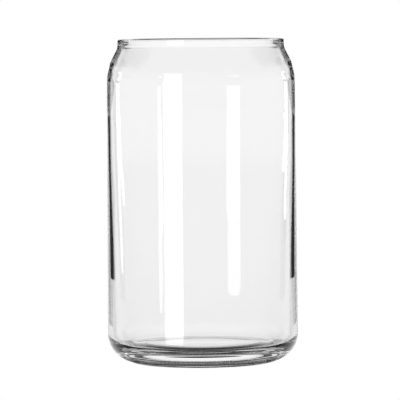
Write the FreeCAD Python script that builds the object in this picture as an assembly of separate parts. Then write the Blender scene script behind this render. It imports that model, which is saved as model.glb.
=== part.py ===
import FreeCAD, Part
import math
import os

# A clear drinking glass in the form of a drinks can, made in one piece.
# The glass stands on +Z, its axis is Z, and its bearing ring lies in the plane z = 0.
# Sizes are in mm. A drop is measured down from the rim.

# Overall size
height = 131.0
bodyDiameter = 77.4

# Heel, the rounded edge between the body and the bearing ring
heelHeight = 7.0
heelBlend = 11.0
lowHeelDiameter = 66.9
lowHeelHeight = 1.5
lowHeelBlend = 11.0

# Underside: a flat bearing ring round a shallow push-up
ringDiameter = 58.6
ringWidth = 2.8
ringBlend = 1.7
pushUpHeight = 2.7
pushUpSlope = 11.5
pushUpBlend = 2.9

# Shoulder, knee and neck: the body draws in by two corners to a short upright neck
shoulderDiameter = 76.3
shoulderDrop = 14.5
shoulderBlend = 22.0
kneeDiameter = 74.0
kneeDrop = 8.9
kneeBlend = 11.0
neckDiameter = 67.6
neckDrop = 4.2
neckBlend = 4.1

# Lip, the melted and rounded top of the neck
lipThickness = 2.3
lipBlend = 1.0

# Inside of the wall, from the neck down
innerNeckDiameter = 63.6
innerNeckDrop = 5.0
innerNeckBlend = 8.5
innerShoulderDiameter = 73.8
innerShoulderDrop = 11.8
innerShoulderBlend = 13.0
midWallDiameter = 73.8
midWallHeight = 80.0
midWallBlend = 2400.0

# Floor of the bowl
floorHeight = 7.0
floorDiameter = 70.3
floorBlend = 3.5


def corner(diameter, level, blend=0.0):
    """A corner of the half section, at a diameter and a level, with its blend radius."""
    return FreeCAD.Vector(diameter / 2.0, 0.0, level), blend


def blendedEdges(corners):
    """Straight edges between the corners, with a tangent arc at each corner that has a blend."""
    edges = []
    start = corners[0][0]
    for index in range(1, len(corners) - 1):
        point, blend = corners[index]
        if blend == 0.0:
            edges.append(Part.LineSegment(start, point).toShape())
            start = point
            continue
        back = (corners[index - 1][0] - point).normalize()
        ahead = (corners[index + 1][0] - point).normalize()
        halfTurn = (math.pi - back.getAngle(ahead)) / 2.0
        tangentLength = blend * math.tan(halfTurn)
        arcStart = point + back * tangentLength
        arcEnd = point + ahead * tangentLength
        towardsCentre = (back + ahead).normalize()
        arcMiddle = point + towardsCentre * (blend / math.cos(halfTurn) - blend)
        edges.append(Part.LineSegment(start, arcStart).toShape())
        edges.append(Part.Arc(arcStart, arcMiddle, arcEnd).toShape())
        start = arcEnd
    edges.append(Part.LineSegment(start, corners[-1][0]).toShape())
    return edges


def outsideCorners():
    """Half section of the outside, from the middle of the push-up to the crown of the lip."""
    ringInnerDiameter = ringDiameter - 2.0 * ringWidth
    return [
        corner(0.0, pushUpHeight),
        corner(ringInnerDiameter - 2.0 * pushUpSlope, pushUpHeight, pushUpBlend),
        corner(ringInnerDiameter, 0.0, ringBlend),
        corner(ringDiameter, 0.0, ringBlend),
        corner(lowHeelDiameter, lowHeelHeight, lowHeelBlend),
        corner(bodyDiameter, heelHeight, heelBlend),
        corner(shoulderDiameter, height - shoulderDrop, shoulderBlend),
        corner(kneeDiameter, height - kneeDrop, kneeBlend),
        corner(neckDiameter, height - neckDrop, neckBlend),
        corner(neckDiameter, height, lipBlend),
        corner(neckDiameter - lipThickness, height),
    ]


def bowlCorners():
    """Half section of the bowl, from the crown of the lip to the middle of the floor."""
    return [
        corner(neckDiameter - lipThickness, height),
        corner(neckDiameter - 2.0 * lipThickness, height, lipBlend),
        corner(innerNeckDiameter, height - innerNeckDrop, innerNeckBlend),
        corner(innerShoulderDiameter, height - innerShoulderDrop, innerShoulderBlend),
        corner(midWallDiameter, midWallHeight, midWallBlend),
        corner(floorDiameter, floorHeight, floorBlend),
        corner(0.0, floorHeight),
    ]


def makeGlass():
    """The whole glass, one solid turned about its axis."""
    axisEdge = Part.LineSegment(corner(0.0, floorHeight)[0], corner(0.0, pushUpHeight)[0]).toShape()
    edges = blendedEdges(outsideCorners()) + blendedEdges(bowlCorners()) + [axisEdge]
    section = Part.Face(Part.Wire(edges))
    return section.revolve(FreeCAD.Vector(0, 0, 0), FreeCAD.Vector(0, 0, 1), 360)


os.makedirs("parts", exist_ok=True)
glass = makeGlass()
glass.exportStep("parts/glass.step")
print("glass volume in ml of material", round(glass.Volume / 1000.0, 1))
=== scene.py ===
import math

import bpy
from mathutils import Matrix, Vector


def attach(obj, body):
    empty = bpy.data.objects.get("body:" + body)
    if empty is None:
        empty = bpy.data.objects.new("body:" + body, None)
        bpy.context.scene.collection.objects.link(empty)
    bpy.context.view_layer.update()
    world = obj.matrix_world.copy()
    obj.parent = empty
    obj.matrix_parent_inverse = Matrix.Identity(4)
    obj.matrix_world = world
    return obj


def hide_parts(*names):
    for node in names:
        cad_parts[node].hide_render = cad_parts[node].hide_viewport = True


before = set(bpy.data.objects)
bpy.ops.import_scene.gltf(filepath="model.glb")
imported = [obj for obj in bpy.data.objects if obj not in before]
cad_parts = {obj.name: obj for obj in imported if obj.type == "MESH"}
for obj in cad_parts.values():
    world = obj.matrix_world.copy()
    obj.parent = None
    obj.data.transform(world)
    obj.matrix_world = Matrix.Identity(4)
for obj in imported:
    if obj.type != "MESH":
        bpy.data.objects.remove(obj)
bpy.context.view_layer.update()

mm = 0.001


# Small helpers

smooth = {"interpolation_type": "SMOOTHSTEP"}  # a Map Range node that eases in and out


def linearColour(hexColour):
    # sRGB hex to the linear values that a shader takes
    parts = [int(hexColour[i:i + 2], 16) / 255 for i in (1, 3, 5)]
    return [c / 12.92 if c <= 0.04045 else ((c + 0.055) / 1.055) ** 2.4 for c in parts] + [1.0]


def addNode(tree, kind, inputs=(), **settings):
    # adds a node; its inputs, in order or by name, are values, outputs, or nodes for their first output
    node = tree.nodes.new(kind)
    for name, value in settings.items():
        setattr(node, name, value)
    for socket, value in inputs.items() if isinstance(inputs, dict) else enumerate(inputs):
        if isinstance(value, bpy.types.Node):
            value = value.outputs[0]
        if isinstance(value, bpy.types.NodeSocket):
            tree.links.new(value, node.inputs[socket])
        else:
            node.inputs[socket].default_value = value
    return node


def emptyMaterial(name):
    # a material whose nodes are still to be added
    material = bpy.data.materials.new(name)
    material.use_nodes = True
    material.node_tree.nodes.clear()
    return material


def deselectAll():
    if bpy.context.object and bpy.context.object.mode != "OBJECT":
        bpy.ops.object.mode_set(mode="OBJECT")
    bpy.ops.object.select_all(action="DESELECT")


# Camera

camera = {
    "distance": 1330 * mm,  # in front of the axis of the glass
    "height": 141 * mm,
    "pitch": 3.25,          # degrees down
    "turn": 0.0336,         # degrees left
    "roll": 0.485,          # degrees clockwise
    "lens": 294.93,         # mm
    "sensor": 36.0,         # mm wide
    "farthest": 20.0,       # m
}


def makeCamera():
    data = bpy.data.cameras.new("camera")
    data.lens = camera["lens"]
    data.sensor_width = camera["sensor"]
    data.clip_end = camera["farthest"]
    made = bpy.data.objects.new("camera", data)
    bpy.context.scene.collection.objects.link(made)
    aim = Matrix.Rotation(math.radians(camera["turn"]), 4, "Z")
    aim = aim @ Matrix.Rotation(math.radians(90 - camera["pitch"]), 4, "X")
    aim = aim @ Matrix.Rotation(math.radians(-camera["roll"]), 4, "Z")
    made.matrix_world = Matrix.Translation((0, -camera["distance"], camera["height"])) @ aim
    bpy.context.scene.camera = made
    print("camera placed")


# The glass, turned in one piece; sizes in mm

glass = {
    "height": 131.0,
    "bodyDiameter": 77.4,
    "heel": (7.0, 11.0),               # level, blend
    "lowHeel": (66.9, 1.5, 11.0),      # diameter, level, blend
    "ring": (58.3, 1.6, 2.7),          # diameter, width, blend
    "pushUp": (1.3, 4.1, 0.8),         # height, slope, blend
    "shoulder": (76.35, 15.5, 15.1),   # diameter, drop from the rim, blend
    "knee": (73.4, 9.0, 10.8),
    "neck": (67.55, 3.35, 4.8),
    "lip": (67.55, 2.5, 0.7),          # diameter, thickness, blend
    "innerNeck": (65.5, 4.2, 11.4),    # diameter, drop from the rim, blend
    "innerShoulder": (72.7, 11.5, 14.7),
    "highWall": (74.4, 100.8, 150.0),  # diameter, level, blend
    "midWall": (74.2, 78.6, 800.0),
    "lowWall": (72.15, 31.0, 360.0),
    "floorCorner": (71.3, 6.53, 5.0),
    "floor": (38.3, 50.0, 0.13),       # diameter where it starts to rise, blend, rise in the middle
    "arcStep": 5.0,                    # degrees of a blend to each edge
    "longStep": 2.0,                   # longest edge along the section
    "stepsRound": 256,
    "weld": 0.002,                     # points nearer than this are one
}


def below(name):
    # a corner whose level is given as a drop from the rim
    diameter, drop, blend = glass[name]
    return diameter, glass["height"] - drop, blend


def profileCorners():
    # half section from the push-up, round the outside, over the lip and down the bowl: diameter, level, blend
    ringOuter, ringWidth, ringBlend = glass["ring"]
    ringInner = ringOuter - 2 * ringWidth
    pushUp, slope, pushBlend = glass["pushUp"]
    lip, lipThickness, lipBlend = glass["lip"]
    floorLevel = glass["floorCorner"][1]
    flatDiameter, flatBlend, rise = glass["floor"]
    return [
        (0, pushUp, 0),
        (ringInner - 2 * slope, pushUp, pushBlend),
        (ringInner, 0, ringBlend),
        (ringOuter, 0, ringBlend),
        glass["lowHeel"],
        (glass["bodyDiameter"], *glass["heel"]),
        below("shoulder"),
        below("knee"),
        below("neck"),
        (lip, glass["height"], lipBlend),
        (lip - 2 * lipThickness, glass["height"], lipBlend),
        below("innerNeck"),
        below("innerShoulder"),
        glass["highWall"],
        glass["midWall"],
        glass["lowWall"],
        glass["floorCorner"],
        (flatDiameter, floorLevel, flatBlend),
        (0, floorLevel + rise, 0),
    ]


def extrudeTo(start, end):
    # draws a straight run from the selected end vertex, in short edges
    edges = max(1, round((end - start).length / (glass["longStep"] * mm)))
    for i in range(edges):
        bpy.ops.mesh.extrude_region_move(TRANSFORM_OT_translate={"value": (end - start) / edges})


def makeGlassMesh():
    deselectAll()
    corners = [(Vector((d / 2 * mm, 0, z * mm)), blend * mm) for d, z, blend in profileCorners()]
    # one vertex in the middle of the push-up, from which the section is drawn
    bpy.ops.mesh.primitive_plane_add(size=mm, location=corners[0][0])
    piece = bpy.context.object
    bpy.ops.object.transform_apply(location=True)
    bpy.ops.object.mode_set(mode="EDIT")
    bpy.ops.mesh.select_all(action="SELECT")
    bpy.ops.mesh.merge(type="CENTER")
    start = corners[0][0]
    for i in range(1, len(corners) - 1):
        here, blend = corners[i]
        back = (corners[i - 1][0] - here).normalized()
        ahead = (corners[i + 1][0] - here).normalized()
        halfTurn = (math.pi - back.angle(ahead)) / 2
        reach = blend * math.tan(halfTurn)
        arcStart = here + back * reach
        arcEnd = here + ahead * reach
        extrudeTo(start, arcStart)
        # the blend is spun round its centre, which lies on one side of the section or the other
        centre = here + (back + ahead).normalized() * (blend / math.cos(halfTurn))
        side = 1 if (arcStart - centre).cross(arcEnd - centre).y < 0 else -1
        steps = max(2, round(math.degrees(2 * halfTurn) / glass["arcStep"]))
        steps = max(steps, round(2 * halfTurn * blend / (glass["longStep"] * mm)))
        bpy.ops.mesh.spin(steps=steps, angle=2 * halfTurn * side, center=centre, axis=(0, 1, 0))
        start = arcEnd
    extrudeTo(start, corners[-1][0])
    # the section turned about the axis of the glass
    bpy.ops.mesh.select_all(action="SELECT")
    bpy.ops.mesh.spin(steps=glass["stepsRound"], angle=2 * math.pi, center=(0, 0, 0), axis=(0, 0, 1))
    bpy.ops.mesh.select_all(action="SELECT")
    bpy.ops.mesh.remove_doubles(threshold=glass["weld"] * mm)
    bpy.ops.mesh.normals_make_consistent(inside=False)
    bpy.ops.object.mode_set(mode="OBJECT")
    bpy.ops.object.shade_smooth()
    piece.name = "glass_vessel"
    piece.data.name = "glass_vessel"
    print("glass:", len(piece.data.vertices), "vertices")
    return piece


glassFinish = {
    "tint": "#FFFFFF",  # no colour of its own in a wall this thin
    "ior": 1.52,        # typical of soda-lime glass
    "roughness": 0.0,   # melted smooth, with no grain
}


def makeGlassMaterial():
    # fire-polished soda-lime glass: clear and mirror smooth, so the eye reads its form by the dark lines that
    # the wall bends into view and by the lamps that it mirrors
    material = emptyMaterial("fire_polished_soda_lime_glass")
    tree = material.node_tree
    shader = addNode(tree, "ShaderNodeBsdfPrincipled", {
        "Base Color": linearColour(glassFinish["tint"]),
        "Roughness": glassFinish["roughness"],
        "IOR": glassFinish["ior"],
        "Transmission Weight": 1.0,
    })
    addNode(tree, "ShaderNodeOutputMaterial", (shader,))
    return material


# Backdrop: white where light comes straight through the glass, dim and shaped where the glass mirrors it.
# Heights are from -1 straight down to 1 straight up, and depths from -1 in front to 1 straight behind.

# how often light has been mirrored or bent is a whole number, and these limits lie between two of them
atLeast = {"once": 0.5, "twice": 1.5, "threeTimes": 2.5}

backdrop = {
    "white": 1.0,                  # brightness of the sweep behind
    "ceiling": 0.02,               # of the dark room overhead
    "table": 0.03,                 # of the dark table below
    "sweepTop": (0.27, 0.35),      # heights between which the sweep gives way to the ceiling
    "tableBehind": (-0.3, -0.42),  # and to the table, straight behind the glass
    "tableSides": (-0.54, -0.68),  # and at its sides
    "straight": (0.72, 0.78),      # depths between which straight behind begins
    # what the glass mirrors: brightness by depth above the horizon and below it
    "upper": ((-1, 0.43), (-0.5, 0.46), (0.0, 0.54), (0.34, 0.66), (0.6, 0.74), (0.82, 0.78), (0.9, 1.0)),
    "lower": ((-1, 0.0), (-0.5, 0.0), (0.0, 0.13), (0.34, 0.27), (0.6, 0.6), (0.78, 0.8), (0.9, 1.0)),
    "horizon": (-0.062, -0.096),   # heights between which the first gives way to the second
    "overhead": (-0.15, 0.05),     # depths between which the mirrored ceiling turns dark
    "caught": 0.05,                # what light caught in the wall meets as it leaves downwards
    "caughtRise": (0.0, 0.06),     # heights between which it meets the mirrored room instead
}


def shades(tree, value, stops):
    # brightness by a value from -1 to 1, with straight lines between the stops
    place = addNode(tree, "ShaderNodeMapRange", (value, -1.0, 1.0, 0.0, 1.0))
    node = addNode(tree, "ShaderNodeValToRGB", (place,))
    while len(node.color_ramp.elements) < len(stops):
        node.color_ramp.elements.new(0.5)
    for element, (at, level) in zip(node.color_ramp.elements, stops):
        element.position = (at + 1) / 2
        element.color = (level, level, level, 1)
    return node


def mirroredOnly(tree, path):
    # 1 on a light path that some surface of the glass has mirrored, 0 on one that came straight through
    mirrorings = path.outputs["Glossy Depth"]
    return addNode(tree, "ShaderNodeMath", (mirrorings, atLeast["once"]), operation="GREATER_THAN")


def makeWorld():
    b = backdrop
    world = bpy.data.worlds.new("studio")
    bpy.context.scene.world = world
    world.use_nodes = True
    tree = world.node_tree
    path = addNode(tree, "ShaderNodeLightPath")
    place = addNode(tree, "ShaderNodeTexCoord")
    parts = addNode(tree, "ShaderNodeSeparateXYZ", (place.outputs["Generated"],))
    height, depth = parts.outputs["Z"], parts.outputs["Y"]
    # straight through: the white sweep, the dark ceiling over it and the dark table under it
    over = addNode(tree, "ShaderNodeMapRange", (height, *b["sweepTop"], b["white"], b["ceiling"]), **smooth)
    lowBehind = addNode(tree, "ShaderNodeMapRange", (height, *b["tableBehind"], over, b["table"]), **smooth)
    behind = addNode(tree, "ShaderNodeMapRange", (depth, *b["straight"], over, lowBehind), **smooth)
    through = addNode(tree, "ShaderNodeMapRange", (height, *b["tableSides"], behind, b["table"]), **smooth)
    # mirrored: the white sweep behind, and a grey room in front that darkens towards the table
    upper = shades(tree, depth, b["upper"])
    lower = shades(tree, depth, b["lower"])
    room = addNode(tree, "ShaderNodeMapRange", (height, *b["horizon"], upper, lower), **smooth)
    overhead = addNode(tree, "ShaderNodeMapRange", (depth, *b["overhead"], room, b["ceiling"]), **smooth)
    mirrored = addNode(tree, "ShaderNodeMapRange", (height, *b["sweepTop"], room, overhead), **smooth)
    # caught between the two faces of the wall, mirrored three times or more
    mirrorings = path.outputs["Glossy Depth"]
    caught = addNode(tree, "ShaderNodeMath", (mirrorings, atLeast["threeTimes"]), operation="GREATER_THAN")
    rising = addNode(tree, "ShaderNodeMapRange", (height, *b["caughtRise"], b["caught"], mirrored), **smooth)
    mirrored = addNode(tree, "ShaderNodeMix", {"Factor": caught, "A": mirrored, "B": rising})
    level = addNode(tree, "ShaderNodeMix", {"Factor": mirroredOnly(tree, path), "A": through, "B": mirrored})
    seen = addNode(tree, "ShaderNodeMix",
                   {"Factor": path.outputs["Is Camera Ray"], "A": level, "B": b["white"]})
    back = tree.nodes["Background"]
    back.inputs["Color"].default_value = linearColour("#FFFFFF")
    tree.links.new(seen.outputs[0], back.inputs["Strength"])


# Table: white beside the glass; under it painted shade in front, and painted light behind and in the middle

table = {
    "size": 20.0,
    "front": 0.015,               # painted shade: brightness under the glass in front
    "back": 0.6,                  # and behind
    "between": (-0.018, 0.011),   # m along Y from the one to the other
    "middle": (0.010, 0.018),     # radii (m) between which the painted light of the middle ends
    "underRadius": 0.035,         # m, the part that the glass stands over
    "litRadius": 0.09,            # m, how far the table is lit round the glass
    "ior": 1.5,
    "paintedReflectionGain": 2.0,                 # painted reflection of the sweep: its share is the table's Fresnel share times this
    "paintedReflectionCut": 0.2,                   # less this
}


def makeFloor():
    t = table
    deselectAll()
    bpy.ops.mesh.primitive_plane_add(size=t["size"], location=(0, 0, 0))
    floor = bpy.context.object
    floor.name = "floor"
    material = emptyMaterial("white_floor")
    tree = material.node_tree
    path = addNode(tree, "ShaderNodeLightPath")
    place = addNode(tree, "ShaderNodeTexCoord").outputs["Object"]
    depth = addNode(tree, "ShaderNodeSeparateXYZ", (place,)).outputs["Y"]
    radius = addNode(tree, "ShaderNodeVectorMath", (place,), operation="LENGTH").outputs["Value"]
    white = addNode(tree, "ShaderNodeEmission", {"Strength": backdrop["white"]})
    clear = addNode(tree, "ShaderNodeBsdfTransparent")
    # under the glass: painted shade in front, painted light behind and in the middle, and white at a low
    # angle, a painted reflection of the sweep
    front = addNode(tree, "ShaderNodeMapRange", (depth, *t["between"], t["front"], t["back"]), **smooth)
    middle = addNode(tree, "ShaderNodeMapRange", (radius, *t["middle"], t["back"], front), **smooth)
    # painted shade in front and painted light behind, as a glow under the glass
    paintedShadeAndLight = addNode(tree, "ShaderNodeEmission", {"Strength": middle})
    # painted reflection of the sweep, weighted by a Fresnel share
    fresnel = addNode(tree, "ShaderNodeFresnel", {"IOR": t["ior"]})
    paintedReflectionShare = addNode(tree, "ShaderNodeMath", (fresnel, t["paintedReflectionGain"], -t["paintedReflectionCut"]), operation="MULTIPLY_ADD",
                    use_clamp=True)
    under = addNode(tree, "ShaderNodeMixShader", (paintedReflectionShare, paintedShadeAndLight, white))
    # round it, white to what came straight through; elsewhere the backdrop stands in for the table
    beyond = addNode(tree, "ShaderNodeMath", (radius, t["litRadius"]), operation="GREATER_THAN")
    unlit = addNode(tree, "ShaderNodeMath", (beyond, mirroredOnly(tree, path)), operation="MAXIMUM")
    nearby = addNode(tree, "ShaderNodeMixShader", (unlit, white, clear))
    outside = addNode(tree, "ShaderNodeMath", (radius, t["underRadius"]), operation="GREATER_THAN")
    anywhere = addNode(tree, "ShaderNodeMixShader", (outside, under, nearby))
    # and plain white to the camera
    seen = addNode(tree, "ShaderNodeMixShader", (path.outputs["Is Camera Ray"], anywhere, white))
    addNode(tree, "ShaderNodeOutputMaterial", (seen,))
    floor.data.materials.append(material)


# Panels round the glass. An edge is a height (m) and the azimuths (degrees) where the panel starts and ends;
# azimuth 0 is straight behind the glass, and positive to the right.

cards = {
    "brightness": 0.022,
    "distance": 0.42,
    # of the right one, and the left one is its mirror image
    "edges": ((-0.022, 26.5, 45), (0.02, 26.3, 47.5), (0.06, 24.2, 40.3), (0.095, 19.2, 37.4),
              (0.13, 15.5, 37.5), (0.3, 20, 45)),
}

lamps = {
    "power": 3.2,
    "distance": 0.6,
    # each strip has the heights (m) between which it fades out, and its edges
    "strips": {
        "lamp_wide": ((0.15, 0.21), (
            (-0.2, -134.6, -156.6), (0.01, -134.6, -156.8), (0.128, -134.2, -157.4), (0.21, -134.2, -157.4))),
        "lamp_narrow": ((0.106, 0.12), (
            (-0.024, -129.3, -131), (-0.015, -128.0, -132.7), (0.01, -127.5, -132.3), (0.128, -127, -131))),
        "lamp_right": ((0.106, 0.12), (
            (-0.0137, 147.5, 137.8), (-0.0107, 150.5, 134.8), (0.01, 150.3, 134.6), (0.128, 149.3, 133))),
        "lamp_side_left": ((0.106, 0.12), (
            (-0.005, -67.5, -71), (0.01, -64.5, -71), (0.04, -60.5, -67), (0.07, -57, -64),
            (0.1, -55.5, -64.5), (0.128, -55, -65))),
        "lamp_side_right": ((0.106, 0.12), (
            (0.0245, 60, 64), (0.03, 58, 65.5), (0.04, 57, 64.5), (0.07, 51.5, 58),
            (0.1, 51.5, 61), (0.128, 51, 62))),
    },
}


def showPanel(tree, first, second, strength):
    # the panel glows on a light path that passes both tests, and is clear to all others
    both = addNode(tree, "ShaderNodeMath", (first, second), operation="MULTIPLY")
    clear = addNode(tree, "ShaderNodeBsdfTransparent")
    glow = addNode(tree, "ShaderNodeEmission", {"Strength": strength})
    seen = addNode(tree, "ShaderNodeMixShader", (both, clear, glow))
    addNode(tree, "ShaderNodeOutputMaterial", (seen,))


def makeCardMaterial():
    # matt black card, which draws the dark lines in the wall; the camera doesn't see it beside the glass, nor
    # does light that the glass has mirrored more than once
    material = emptyMaterial("card_black")
    tree = material.node_tree
    path = addNode(tree, "ShaderNodeLightPath")
    meetings, mirrorings = path.outputs["Ray Depth"], path.outputs["Glossy Depth"]
    indirect = addNode(tree, "ShaderNodeMath", (meetings, atLeast["once"]), operation="GREATER_THAN")
    onceAtMost = addNode(tree, "ShaderNodeMath", (mirrorings, atLeast["twice"]), operation="LESS_THAN")
    showPanel(tree, indirect, onceAtMost, cards["brightness"])
    return material


def makeLampMaterial(name, fade):
    # frosted strip lamp, which fades out between two heights and which only the front wall mirrors: there
    # light is bent twice at most, on its way in to the inner face and out again
    material = emptyMaterial(name)
    tree = material.node_tree
    path = addNode(tree, "ShaderNodeLightPath")
    bends = path.outputs["Transmission Depth"]
    twiceAtMost = addNode(tree, "ShaderNodeMath", (bends, atLeast["threeTimes"]), operation="LESS_THAN")
    place = addNode(tree, "ShaderNodeTexCoord")
    height = addNode(tree, "ShaderNodeSeparateXYZ", (place.outputs["Object"],)).outputs["Z"]
    power = addNode(tree, "ShaderNodeMapRange", (height, *fade, lamps["power"], 0.0), **smooth)
    showPanel(tree, mirroredOnly(tree, path), twiceAtMost, power)
    return material


def around(azimuth, distance, height):
    # a point round the glass
    a = math.radians(azimuth)
    return (distance * math.sin(a), distance * math.cos(a), height)


def standPanel(name, material, distance, edges, side=1):
    corners = []
    faces = []
    for i, (height, start, end) in enumerate(edges):
        corners += [around(side * start, distance, height), around(side * end, distance, height)]
        if i:
            faces.append((2 * i - 2, 2 * i - 1, 2 * i + 1, 2 * i))
    mesh = bpy.data.meshes.new(name)
    mesh.from_pydata(corners, [], faces)
    panel = bpy.data.objects.new(name, mesh)
    bpy.context.scene.collection.objects.link(panel)
    panel.data.materials.append(material)


# enough for light to cross both walls, and to be mirrored between their faces
bounces = {"max_bounces": 32, "glossy_bounces": 24, "transmission_bounces": 32, "transparent_max_bounces": 16}


def makeStudio():
    scene = bpy.context.scene
    scene.view_settings.view_transform = "Standard"  # white stays white
    scene.cycles.use_denoising = True
    for name, count in bounces.items():
        setattr(scene.cycles, name, count)
    makeWorld()
    makeFloor()
    print("backdrop and table set")
    black = makeCardMaterial()
    for name, side in (("card_left", -1), ("card_right", 1)):
        standPanel(name, black, cards["distance"], cards["edges"], side)
    for name, (fade, edges) in lamps["strips"].items():
        standPanel(name, makeLampMaterial(name, fade), lamps["distance"], edges)
    print("cards and lamps set")


makeCamera()
vessel = makeGlassMesh()
vessel.data.materials.append(makeGlassMaterial())
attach(vessel, "root")
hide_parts("glass")
makeStudio()
